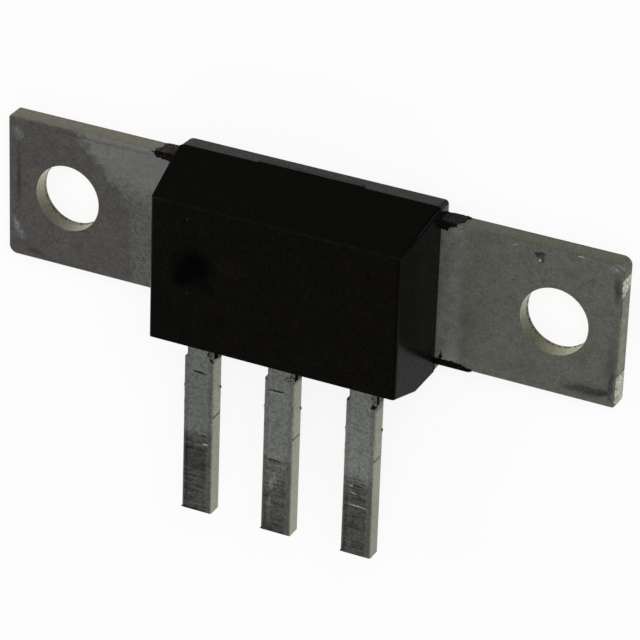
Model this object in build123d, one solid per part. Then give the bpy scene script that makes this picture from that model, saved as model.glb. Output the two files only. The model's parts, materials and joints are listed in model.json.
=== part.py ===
from build123d import *
import math
import os

# Two-diode power module: an epoxy case moulded round a flat mounting plate, with three flat leads.
# Millimetres. The module lies on the back of its plate. The origin is on that back face, midway
# between the two screw holes. +X runs along the plate, the leads point to -Y, and +Z comes out of
# the front of the case.

# Mounting plate: stamped copper, nickel plated, the common cathode and heat spreader
hole_spacing = 30.29
hole_diameter = 4.06
hole_to_end = 3.86            # from a hole's centre to the nearer end of the plate
plate_width = 8.84
plate_thickness = 1.17
plate_corner_radius = 0.50    # upper right and lower left
plate_sharp_radius = 0.18     # upper left and lower right, where the strip was cut last
plate_edge_roll = 0.12        # rounding that the punch leaves along the front edges
lock_groove_height = 0.44     # V groove in each long edge, which the epoxy keys into
lock_groove_depth = 0.26
lock_groove_margin = 1.10     # the groove stops this far inside the ends of the case

# Leads: flat tinned copper, stamped in one frame and bent down to their feet
lead_pitch = 5.08
lead_width = 1.88
lead_thickness = 0.94
lead_reach = 10.94            # from the widest line of the case to the tips
lead_rise = 1.83              # from the plate's front face to the leads' back face
lead_edge_roll = 0.10         # rounding along the front edges of the free leads
neck_inset = 0.20             # each side is narrower by this where a lead leaves the case
neck_length = 1.02            # from the widest line of the case to the shoulders
neck_corner_radius = 0.14
bend_angle = 50.0
bend_radius = 0.35            # on the inside of each bend
foot_length = 2.40
anode_foot_width = 2.60
cathode_foot_width = 2.00

# Dice and solder
die_side = 4.20
die_thickness = 0.30
die_centre_y = 0.60
die_corner_radius = 0.20
solder_thickness = 0.10
solder_fillet = 0.15          # how far solder spreads past the foot or the die that it holds

# Moulded case
case_end_wall = 1.00          # epoxy beyond the dice at the ends, at the parting line
case_top_wall = 0.85          # epoxy over the plate's upper edge, at the parting line
case_bottom_wall = 0.68       # the same under its lower edge
case_cover = 1.33             # epoxy in front of the leads
case_back_recess = 0.06       # the case stops this short of the plate's back face
case_end_draft = 7.6          # degrees, both ends
case_top_slope = 20.0         # degrees, the long slope above the front face
case_bottom_draft = 11.9      # degrees, from the leads to the front face
case_heel_slope = 12.0        # degrees, from the parting line out to the leads
case_back_draft = 2.6         # degrees, all round the half behind the parting line
parting_step = 0.03           # mismatch between the two halves of the mould
case_edge_radius = 0.25       # on the two ends of the front face
case_corner_front = 0.08      # corners seen from the front: at the front face,
case_corner_left = 0.58       # at the parting line, upper left
case_corner_right = 0.29      # upper right
case_corner_low = 0.12        # and at the leads and below
dimple_radius = 0.95          # round mark on the front face, over the left lead
dimple_depth = 0.28
dimple_y = -0.09
gate_length = 6.45            # scar on the top, where the runner was broken off the case
gate_height = 0.30
gate_stub = 0.06
gate_x = 0.16

# Mould flash: thin skins of epoxy that crept over the plate's edges beside the case.
# Each has its reach from the case along the plate's front and back edges, and a lip that hangs
# over the front face, with its depth near the case, how far it keeps that depth, and its depth
# at the far end.
flash_thickness = 0.05
flash_root = 0.40             # how far a skin runs back into the case
flash_upper_left = {"front": 1.24, "back": 1.06, "near": 0.40, "keeps": 0.52, "far": 0.32}
flash_upper_right = {"front": 0.81, "back": 1.22, "near": 0.34, "keeps": 0.42, "far": 0.04}
flash_lower_right = {"front": 2.08, "back": 0.55, "near": 0.30, "keeps": 1.30, "far": 0.03}

# Sizes that follow from the ones above
plate_length = hole_spacing + 2 * hole_to_end
plate_top = plate_width / 2
plate_bottom = -plate_width / 2
case_end = lead_pitch + die_side / 2 + case_end_wall
case_top = plate_top + case_top_wall
case_bottom = plate_bottom - case_bottom_wall
lead_back_z = plate_thickness + lead_rise
lead_front_z = lead_back_z + lead_thickness
case_front_z = lead_front_z + case_cover
case_heel_y = case_bottom - lead_rise * math.tan(math.radians(case_heel_slope))
lead_tip_y = case_heel_y - lead_reach
neck_width = lead_width - 2 * neck_inset
shoulder_y = case_heel_y - neck_length
foot_start_y = die_centre_y - foot_length / 2
foot_end_y = die_centre_y + foot_length / 2
die_z = plate_thickness + solder_thickness
anode_solder_z = die_z + die_thickness
anode_foot_z = anode_solder_z + solder_thickness
cathode_foot_z = plate_thickness + solder_thickness


def run(height, degrees):
    """How far a wall leans over a height."""
    return height * math.tan(math.radians(degrees))


def close(a, b):
    return abs(a - b) < 0.01


def plate_outline():
    """A strip with two blunt corners and, on the other diagonal, two sharper ones."""
    outline = Rectangle(plate_length, plate_width)
    blunt = outline.vertices().filter_by(lambda v: v.X * v.Y > 0)
    outline = fillet(blunt, plate_corner_radius)
    sharp = outline.vertices().filter_by(lambda v: v.X * v.Y < 0)
    return fillet(sharp, plate_sharp_radius)


def base_plate():
    plate = extrude(plate_outline(), amount=plate_thickness)
    front_edges = plate.faces().sort_by(Axis.Z)[-1].edges()
    plate = fillet(front_edges, plate_edge_roll)
    groove_outline = Polygon(
        (0, -lock_groove_height / 2),
        (0, lock_groove_height / 2),
        (-lock_groove_depth, 0),
        align=None,
    )
    groove_length = 2 * (case_end - lock_groove_margin)
    for edge_y, turn in ((plate_top, 0), (plate_bottom, 180)):
        edge = Plane((0, edge_y, plate_thickness / 2), x_dir=(0, 1, 0), z_dir=(1, 0, 0))
        groove = edge * Rot(0, 0, turn) * groove_outline
        plate -= extrude(groove, amount=groove_length / 2, both=True)
    for side in (-1, 1):
        hole = Cylinder(
            hole_diameter / 2, plate_thickness, align=(Align.CENTER, Align.CENTER, Align.MIN)
        )
        plate -= Pos(side * hole_spacing / 2, 0, 0) * hole
    return plate


def lead_outline(foot_width):
    """One lead seen from the front, about x = 0: foot, neck and free length."""
    stretches = (
        (foot_width, foot_start_y, foot_end_y),
        (neck_width, shoulder_y, foot_start_y),
        (lead_width, lead_tip_y, shoulder_y),
    )
    outline = Sketch()
    for width, low_y, high_y in stretches:
        outline += Pos(0, (low_y + high_y) / 2) * Rectangle(width, high_y - low_y)
    corners = outline.vertices().filter_by(
        lambda v: close(v.Y, shoulder_y) and close(abs(v.X), neck_width / 2)
    )
    return fillet(corners, neck_corner_radius)


def lead(foot_z, foot_width):
    """A straight lead at the lead level, with a slope down to a flat foot."""
    middle = lead_thickness / 2
    drop = lead_back_z - foot_z
    slope = drop / math.tan(math.radians(bend_angle))
    path = FilletPolyline(
        (lead_tip_y, lead_back_z + middle),
        (foot_start_y - slope, lead_back_z + middle),
        (foot_start_y, foot_z + middle),
        (foot_end_y, foot_z + middle),
        radius=bend_radius + middle,
    )
    strip = extrude(Plane.YZ * trace(path, lead_thickness), amount=foot_width, both=True)
    blank = extrude(lead_outline(foot_width), amount=case_front_z)
    part = strip & blank
    front_edges = part.edges().filter_by(Axis.Y).filter_by(
        lambda e: e.center().Y < shoulder_y and close(e.center().Z, lead_front_z)
    )
    return fillet(front_edges, lead_edge_roll)


def die():
    outline = RectangleRounded(die_side, die_side, die_corner_radius)
    return Pos(0, die_centre_y, die_z) * extrude(outline, amount=die_thickness)


def solder(width, length, z):
    """A solder layer under a foot or a die, which spreads a little past it."""
    spread_width = width + 2 * solder_fillet
    spread_length = length + 2 * solder_fillet
    outline = RectangleRounded(spread_width, spread_length, solder_fillet)
    return Pos(0, die_centre_y, z) * extrude(outline, amount=solder_thickness)


def case_outline(end, low_y, top_y, left_radius, right_radius, low_radius):
    """The case seen from the front: a rectangle with its own radius at each upper corner."""
    outline = Pos(0, (low_y + top_y) / 2) * Rectangle(2 * end, top_y - low_y)
    low = outline.vertices().filter_by(lambda v: close(v.Y, low_y))
    outline = fillet(low, low_radius)
    for side, radius in ((-1, left_radius), (1, right_radius)):
        corner = outline.vertices().filter_by(lambda v: v.Y > 0 and close(v.X, side * end))
        outline = fillet(corner, radius)
    return outline


def case_section(z, left_radius, right_radius, low_radius):
    """The case cut at one height in front of the parting line."""
    height = z - plate_thickness
    end = case_end - run(height, case_end_draft)
    top_y = case_top - run(height, case_top_slope)
    if z > lead_back_z:
        low_y = case_heel_y + run(z - lead_back_z, case_bottom_draft)
    else:
        low_y = case_bottom - run(height, case_heel_slope)
    outline = case_outline(end, low_y, top_y, left_radius, right_radius, low_radius)
    return Pos(0, 0, z) * outline


def case_front_half():
    """The half in front of the parting line: two lofts that meet in the plane of the leads."""
    share = (lead_back_z - plate_thickness) / (case_front_z - plate_thickness)
    left = case_corner_left + share * (case_corner_front - case_corner_left)
    right = case_corner_right + share * (case_corner_front - case_corner_right)
    parting = case_section(plate_thickness, case_corner_left, case_corner_right, case_corner_low)
    middle = case_section(lead_back_z, left, right, case_corner_low)
    front = case_section(case_front_z, case_corner_front, case_corner_front, case_corner_front)
    block = loft([parting, middle], ruled=True) + loft([middle, front], ruled=True)
    front_end = case_end - run(case_front_z - plate_thickness, case_end_draft)
    ends = Polygon(
        (-case_end, plate_thickness),
        (case_end, plate_thickness),
        (front_end, case_front_z),
        (-front_end, case_front_z),
        align=None,
    )
    ends = fillet(ends.vertices().filter_by(lambda v: close(v.Y, case_front_z)), case_edge_radius)
    return block & extrude(Plane.XZ * ends, amount=2 * case_top, both=True)


def case_back_half():
    """The shallow half behind the parting line, drafted all round."""
    outline = case_outline(
        case_end - parting_step,
        case_bottom + parting_step,
        case_top - parting_step,
        case_corner_left,
        case_corner_right,
        case_corner_low,
    )
    parting = Pos(0, 0, plate_thickness) * outline
    depth = plate_thickness - case_back_recess
    return extrude(parting, amount=depth, dir=(0, 0, -1), taper=case_back_draft)


def gate_scar():
    """What is left of the runner, just behind the parting line on top of the case."""
    low_y = case_top - gate_stub
    place = Pos(gate_x, low_y, plate_thickness - gate_height)
    corner = (Align.CENTER, Align.MIN, Align.MIN)
    return place * Box(gate_length, 2 * gate_stub, gate_height, align=corner)


def flash(side, edge, spot):
    """Epoxy skin over one edge of the plate beside the case: side and edge are -1 or 1."""
    root = side * (case_end - flash_root)
    edge_y = edge * plate_width / 2
    front_z = plate_thickness + flash_thickness
    outer_y = edge_y + edge * flash_thickness
    skin = Polygon(
        (root, case_back_recess),
        (side * (case_end + spot["back"]), case_back_recess),
        (side * (case_end + spot["front"]), front_z),
        (root, front_z),
        align=None,
    )
    lip = Polygon(
        (root, outer_y),
        (side * (case_end + spot["front"]), outer_y),
        (side * (case_end + spot["front"]), edge_y - edge * spot["far"]),
        (side * (case_end + spot["keeps"]), edge_y - edge * spot["near"]),
        (root, edge_y - edge * spot["near"]),
        align=None,
    )
    depth = flash_thickness + plate_edge_roll
    over_edge = extrude(Pos(0, outer_y, 0) * (Plane.XZ * skin), depth, dir=(0, -edge, 0))
    over_front = extrude(Pos(0, 0, front_z) * lip, depth, dir=(0, 0, -1))
    return over_edge + over_front


def moulded_case(inner_pieces):
    case = case_front_half() + case_back_half() + gate_scar()
    case += flash(-1, 1, flash_upper_left)
    case += flash(1, 1, flash_upper_right)
    case += flash(1, -1, flash_lower_right)
    bowl_radius = (dimple_radius**2 + dimple_depth**2) / (2 * dimple_depth)
    bowl_z = case_front_z + bowl_radius - dimple_depth
    case -= Pos(-lead_pitch, dimple_y, bowl_z) * Sphere(bowl_radius)
    for piece in inner_pieces:
        case -= piece
    return case


def build():
    left = Pos(-lead_pitch, 0, 0)
    right = Pos(lead_pitch, 0, 0)
    anode_lead = lead(anode_foot_z, anode_foot_width)
    anode_solder = solder(anode_foot_width, foot_length, anode_solder_z)
    die_solder = solder(die_side, die_side, plate_thickness)
    nodes = {
        "base_plate": base_plate(),
        "cathode_lead": lead(cathode_foot_z, cathode_foot_width),
        "cathode_solder": solder(cathode_foot_width, foot_length, plate_thickness),
    }
    for name, place in (("left", left), ("right", right)):
        nodes["anode_lead_" + name] = place * anode_lead
        nodes["lead_solder_" + name] = place * anode_solder
        nodes["schottky_die_" + name] = place * die()
        nodes["die_solder_" + name] = place * die_solder
    nodes["moulded_case"] = moulded_case(list(nodes.values()))
    return nodes


os.makedirs("parts", exist_ok=True)
for node, shape in build().items():
    export_step(shape, f"parts/{node}.step")
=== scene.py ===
# Two-diode power module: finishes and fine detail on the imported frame.
# Lengths in the dictionaries are millimetres; tones are 0 to 255, as a screen shows them.
import json
import math
import random

import bmesh
import bpy
from mathutils import Matrix, Vector, noise


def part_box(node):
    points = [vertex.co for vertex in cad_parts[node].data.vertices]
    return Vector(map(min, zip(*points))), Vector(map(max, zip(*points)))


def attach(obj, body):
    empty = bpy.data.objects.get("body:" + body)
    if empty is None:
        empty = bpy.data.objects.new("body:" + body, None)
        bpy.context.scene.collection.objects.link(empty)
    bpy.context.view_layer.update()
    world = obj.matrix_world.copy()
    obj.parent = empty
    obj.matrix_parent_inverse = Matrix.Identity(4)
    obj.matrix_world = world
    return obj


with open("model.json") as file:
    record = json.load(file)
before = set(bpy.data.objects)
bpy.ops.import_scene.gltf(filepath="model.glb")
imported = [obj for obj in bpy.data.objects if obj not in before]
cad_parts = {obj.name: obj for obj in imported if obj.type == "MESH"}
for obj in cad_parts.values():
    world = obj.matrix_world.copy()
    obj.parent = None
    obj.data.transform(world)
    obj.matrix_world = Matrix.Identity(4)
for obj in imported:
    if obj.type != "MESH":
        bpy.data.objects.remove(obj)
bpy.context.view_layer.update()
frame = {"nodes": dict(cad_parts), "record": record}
nodes = frame["nodes"]
scene = bpy.context.scene
scene.view_settings.view_transform = "Standard"
mm = 0.001


def tone(red, green=None, blue=None):
    # a screen tone as the linear colour that a shader socket takes
    def linear(value):
        share = value / 255
        return share / 12.92 if share < 0.04045 else ((share + 0.055) / 1.055) ** 2.4
    green = red if green is None else green
    blue = green if blue is None else blue
    return (linear(red), linear(green), linear(blue), 1.0)


def boxOf(name):
    # the lowest and highest corner of a node, in millimetres
    low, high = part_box(name)
    return Vector(low) / mm, Vector(high) / mm


plateHigh = boxOf("base_plate")[1]
leadLow, leadHigh = boxOf("cathode_lead")
caseHigh = boxOf("moulded_case")[1]


def addObject(name, data):
    made = bpy.data.objects.new(name, data)
    scene.collection.objects.link(made)
    return made


# Where the camera stands, solved from the plate, its holes and the leads

view = {
    "place": (0.086948, 0.106338, 0.186184),    # metres
    "forward": (-0.37059, -0.47452, -0.79843),
    "up": (-0.23268, 0.87966, -0.41480),
    "lens": 231.71,
    "sensor": 36.0,
    "nearest": 0.01,                            # the depth that is drawn, in metres
    "farthest": 20,
}


def makeCamera():
    data = bpy.data.cameras.new("camera")
    data.lens = view["lens"]
    data.sensor_width = view["sensor"]
    data.clip_start = view["nearest"]
    data.clip_end = view["farthest"]
    camera = addObject("camera", data)
    back = -Vector(view["forward"]).normalized()
    up = Vector(view["up"])
    up = (up - back * up.dot(back)).normalized()
    turn = Matrix((up.cross(back), up, back)).transposed().to_4x4()
    camera.matrix_world = Matrix.Translation(view["place"]) @ turn
    scene.camera = camera
    print("camera set")


class Value:
    # one socket in a node tree; arithmetic on it adds Math nodes
    def __init__(self, graph, socket):
        self.graph = graph
        self.socket = socket

    def __add__(self, other):
        return self.graph.math("ADD", self, other)

    def __radd__(self, other):
        return self.graph.math("ADD", other, self)

    def __sub__(self, other):
        return self.graph.math("SUBTRACT", self, other)

    def __rsub__(self, other):
        return self.graph.math("SUBTRACT", other, self)

    def __mul__(self, other):
        return self.graph.math("MULTIPLY", self, other)

    def __rmul__(self, other):
        return self.graph.math("MULTIPLY", other, self)

    def __truediv__(self, other):
        return self.graph.math("DIVIDE", self, other)

    def __rtruediv__(self, other):
        return self.graph.math("DIVIDE", other, self)

    def __abs__(self):
        return self.graph.math("ABSOLUTE", self)

    def most(self, other):
        return self.graph.math("MAXIMUM", self, other)

    def least(self, other):
        return self.graph.math("MINIMUM", self, other)

    def step(self, low, high):
        # 0 below low, 1 above high, smooth between them; low above high turns it round
        sockets = {"Value": self, "From Min": low, "From Max": high}
        return self.graph.node(
            "ShaderNodeMapRange", {"interpolation_type": "SMOOTHSTEP"}, sockets
        )

    def near(self, centre, half, soft):
        # 1 within half of the centre, falling to 0 over the next soft
        return abs(self - centre).step(half + soft, half)

    def within(self, low, high, soft):
        # 1 between low and high, falling to 0 over soft on both sides
        return self.near((low + high) / 2, (high - low) / 2, soft)


class Graph:
    # builds any node tree: node() takes a type, its settings, and its sockets' values or links
    def __init__(self, tree):
        self.tree = tree

    def put(self, socket, value):
        if isinstance(value, Value):
            self.tree.links.new(value.socket, socket)
        else:
            socket.default_value = value

    def node(self, kind, settings=None, sockets=None, output=0):
        made = self.tree.nodes.new(kind)
        for name, value in (settings or {}).items():
            if name == "stops":
                self.setStops(made.color_ramp, value)
            else:
                setattr(made, name, value)
        for name, value in (sockets or {}).items():
            self.put(made.inputs[name], value)
        return Value(self, made.outputs[output]) if made.outputs else made

    def setStops(self, ramp, stops):
        while len(ramp.elements) > 1:
            ramp.elements.remove(ramp.elements[-1])
        for index, (place, colour) in enumerate(stops):
            stop = ramp.elements[0] if index == 0 else ramp.elements.new(place)
            stop.position = place
            stop.color = colour

    def math(self, operation, *values):
        return self.node("ShaderNodeMath", {"operation": operation}, dict(enumerate(values)))

    def mix(self, share, first, second, blend="MIX"):
        settings = {"data_type": "RGBA", "blend_type": blend}
        return self.node("ShaderNodeMix", settings, {0: share, 6: first, 7: second}, output=2)

    def shaded(self, colour, amount):
        # a colour times a number
        grey = self.place(amount, amount, amount)
        return self.mix(1.0, colour, grey, "MULTIPLY")

    def parts(self, vector):
        made = self.node("ShaderNodeSeparateXYZ", {}, {0: vector})
        return [Value(self, out) for out in made.socket.node.outputs]

    def place(self, x, y, z):
        return self.node("ShaderNodeCombineXYZ", {}, {0: x, 1: y, 2: z})

    def vector(self, operation, *values, output=0):
        settings = {"operation": operation}
        return self.node("ShaderNodeVectorMath", settings, dict(enumerate(values)), output)

    def scaled(self, vector, amount):
        settings = {"operation": "SCALE"}
        return self.node("ShaderNodeVectorMath", settings, {0: vector, "Scale": amount})

    def noise(self, vector, scale, detail=3.0, rough=0.55, output=0, lean=0.0):
        sockets = {
            "Vector": vector, "Scale": scale, "Detail": detail, "Roughness": rough,
            "Distortion": lean,
        }
        return self.node("ShaderNodeTexNoise", {}, sockets, output)

    def wandering(self, vector, scale, reach):
        # the place, pushed about by up to half the reach so that marks get ragged borders
        cloud = self.noise(vector, scale, 4.0, 0.65, output=1)
        push = self.vector("SUBTRACT", cloud, (0.5, 0.5, 0.5))
        return self.vector("MULTIPLY_ADD", push, (reach, reach, reach), vector)

    def spot(self, vector, x, y, halfX, halfY, turn=0.0, soft=0.5):
        # an ellipse on a face seen along Z: 1 inside, falling to 0 over its soft rim
        sockets = {
            "Vector": vector, "Location": (x, y, 0), "Rotation": (0, 0, math.radians(turn)),
            "Scale": (halfX, halfY, 1e6),     # endless along Z
        }
        local = self.node("ShaderNodeMapping", {"vector_type": "TEXTURE"}, sockets)
        return self.vector("LENGTH", local, output=1).step(1.0, 1.0 - soft)

    def spots(self, vector, marks, soft=0.5):
        # the strongest of several marks: (x, y, half x, half y, turn, strength)
        total = None
        for x, y, halfX, halfY, turn, strength in marks:
            mark = self.spot(vector, x, y, halfX, halfY, turn, soft) * strength
            total = mark if total is None else total.most(mark)
        return total

    def levels(self, value, low, high, stops):
        # a grey that follows a few (value, level) stops between low and high
        spread = [((at - low) / (high - low), (level, level, level, 1)) for at, level in stops]
        share = (value - low) / (high - low)
        made = self.node("ShaderNodeValToRGB", {"stops": spread}, {0: share})
        return self.parts(made)[0]


def emptyGraph(owner):
    # the graph of a material or a world, with nothing in it
    owner.use_nodes = True
    owner.node_tree.nodes.clear()
    return Graph(owner.node_tree)


def startMaterial(name):
    # the material, its graph, the place in millimetres and the three parts of the normal
    material = bpy.data.materials.new(name)
    graph = emptyGraph(material)
    coords = graph.node("ShaderNodeTexCoord", output=3)
    normal = graph.node("ShaderNodeTexCoord", output=1)
    point = graph.vector("MULTIPLY", coords, (1 / mm, 1 / mm, 1 / mm))
    return material, graph, point, graph.parts(normal)


def endMaterial(graph, colour, roughness, height, relief, others, dull=None):
    # relief: the height in millimetres that a height of 1 stands for; dull: where nothing shines
    bump = graph.node("ShaderNodeBump", {}, {"Height": height, "Distance": relief * mm})
    sockets = {"Base Color": colour, "Roughness": roughness, "Normal": bump, **others}
    shader = graph.node("ShaderNodeBsdfPrincipled", {}, sockets)
    if dull is not None:
        flat = graph.node("ShaderNodeBsdfDiffuse", {}, {"Color": tone(4)})
        shader = graph.node("ShaderNodeMixShader", {}, {0: dull, 1: shader, 2: flat})
    graph.node("ShaderNodeOutputMaterial", {}, {"Surface": shader})


# A bright, even studio: white surroundings and a paper floor that keeps a faint soft shadow

studio = {
    "worldLevel": 0.55,
    "glossLevel": 1.0,        # how bright the surroundings are in metal
    "floorColour": tone(240),
    "floorGlow": 0.85,        # share of the floor that is plain white where it is seen
    "floorSize": 6000,
    "floorDrop": 0.004,
    "lamps": (
        # name, place, aim, size, strength in watts
        ("keyLamp", (260, 330, 420), (0, -3, 2), 420, 1.9),
        ("sideLamp", (-520, 120, 330), (0, -3, 2), 380, 0.7),
        ("footLamp", (60, -560, 360), (0, -6, 2), 420, 0.5),
    ),
}


def seenRays(graph):
    # 1 for rays that end at the camera, straight, mirrored or bent through glass
    camera = graph.node("ShaderNodeLightPath", output=0)
    glossy = graph.node("ShaderNodeLightPath", output=3)
    through = graph.node("ShaderNodeLightPath", output=6)
    return camera, glossy.most(through)


def makeWorld():
    world = bpy.data.worlds.new("studio")
    graph = emptyGraph(world)
    camera, mirrored = seenRays(graph)
    low = studio["worldLevel"]
    level = (low + mirrored * (studio["glossLevel"] - low)).most(camera)
    light = graph.node("ShaderNodeBackground", {}, {"Color": (1, 1, 1, 1), "Strength": level})
    graph.node("ShaderNodeOutputWorld", {}, {"Surface": light})
    scene.world = world


def makeLamps():
    for name, place, aim, size, power in studio["lamps"]:
        data = bpy.data.lights.new(name, "AREA")
        data.shape = "DISK"
        data.size = size * mm
        data.energy = power
        lamp = addObject(name, data)
        lamp.location = Vector(place) * mm
        away = Vector(place) - Vector(aim)
        lamp.rotation_mode = "QUATERNION"
        lamp.rotation_quaternion = away.to_track_quat("Z", "Y")


def makeFloor():
    half = studio["floorSize"] * mm / 2
    low = -studio["floorDrop"] * mm
    corners = [(-half, -half, low), (half, -half, low), (half, half, low), (-half, half, low)]
    mesh = bpy.data.meshes.new("floor")
    mesh.from_pydata(corners, [], [(0, 1, 2, 3)])
    floor = addObject("floor", mesh)
    material = bpy.data.materials.new("floorPaper")
    graph = emptyGraph(material)
    camera, mirrored = seenRays(graph)
    share = camera.most(mirrored) * studio["floorGlow"]
    paper = graph.node("ShaderNodeBsdfDiffuse", {}, {"Color": studio["floorColour"]})
    glow = graph.node("ShaderNodeEmission", {}, {"Color": (1, 1, 1, 1), "Strength": 1.0})
    both = graph.node("ShaderNodeMixShader", {}, {0: share, 1: paper, 2: glow})
    graph.node("ShaderNodeOutputMaterial", {}, {"Surface": both})
    mesh.materials.append(material)
    print("floor, lamps and world set")


# Nickel-plated mounting plate

plate = {
    "front": tone(74, 72.5, 70),
    "nearCase": tone(101, 102, 100),
    "rightTint": (1.005, 1.050, 0.980, 1.0),    # the right-hand end is a little greener
    "dark": tone(32, 32, 31),
    "light": tone(150, 150, 150),
    "pale": tone(123, 124, 129),
    "edge": tone(104, 101, 88),
    "torn": tone(112, 109, 96),
    "streaked": tone(146, 142, 128),
    "endDarkAndShade": tone(40, 38, 35),
    "endHighlightBand": tone(190, 187, 178),
    "grain": 8.0,
    "roughness": 0.42,
    "relief": 0.010,
    "edgeRoll": 0.12,
    "holeX": 15.145,
    "holeRadius": 2.03,
    # x, y, half x, half y, turn, strength
    "darkMarks": (
        (8.53, -3.70, 0.08, 0.30, 0, 0.7),
        (-14.86, 3.84, 0.10, 0.08, 0, 0.6),
        (-15.90, -2.88, 0.10, 0.08, 0, 0.6),
        (-9.90, 1.42, 0.08, 0.07, 0, 0.7),
        (14.06, 3.88, 0.38, 0.16, 12, 1.0),
        (14.26, 3.66, 0.16, 0.34, 8, 1.0),
        (14.00, 3.76, 0.20, 0.20, -20, 1.0),
        (12.65, 1.98, 0.12, 0.05, 50, 0.5),
        (11.87, 1.45, 0.10, 0.05, 40, 0.5),
        (12.54, 0.84, 0.09, 0.06, 30, 0.5),
        (18.70, -3.90, 0.20, 0.06, -30, 0.8),
        (17.30, -3.70, 1.75, 0.30, 3, 0.62),
        (18.10, -3.62, 0.75, 0.26, 6, 0.85),
        (18.70, -3.00, 0.20, 1.10, -6, 0.70),
    ),
    "darkClouds": (
        (-18.34, 0.60, 0.22, 2.90, 0, 0.62),
        (-18.05, -3.45, 0.60, 0.30, -40, 0.50),
        (-17.30, -3.92, 1.05, 0.26, -10, 0.55),
        (-13.60, 4.08, 5.20, 0.11, 0, 0.40),
        (-10.60, 4.10, 2.20, 0.09, 0, 0.30),
        (15.95, 3.05, 0.90, 0.42, -10, 0.28),
        (17.30, -3.66, 2.30, 0.62, 3, 0.45),
        (18.62, -2.10, 0.50, 3.10, -2, 0.36),
        (18.72, 2.85, 0.32, 1.15, 4, 0.72),
        (13.60, -3.30, 2.60, 0.95, 0, 0.14),
        (16.90, -1.90, 1.00, 1.60, 0, 0.12),
        (10.05, -1.30, 0.80, 1.10, 0, 0.24),
        (9.95, -3.20, 0.75, 0.95, 0, 0.30),
    ),
    "lightMarks": (
        (14.13, 3.50, 0.14, 0.06, 10, 1.0),
        (16.49, 4.28, 0.22, 0.04, 2, 0.9),
        (12.59, 4.10, 0.30, 0.04, 8, 0.5),
        # painted highlight on the rounded upper right corner
        (18.66, 4.10, 0.30, 0.05, -24, 0.3),
    ),
    "lightClouds": (
        (-18.40, 3.44, 0.66, 0.44, -50, 0.38),
        (-18.36, -2.72, 1.20, 0.30, -64, 0.62),
        (9.05, 3.95, 0.70, 0.50, 0, 0.85),
        # painted highlight on the rounded upper right corner
        (18.45, 4.08, 0.60, 0.24, -24, 0.40),
    ),
}


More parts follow.
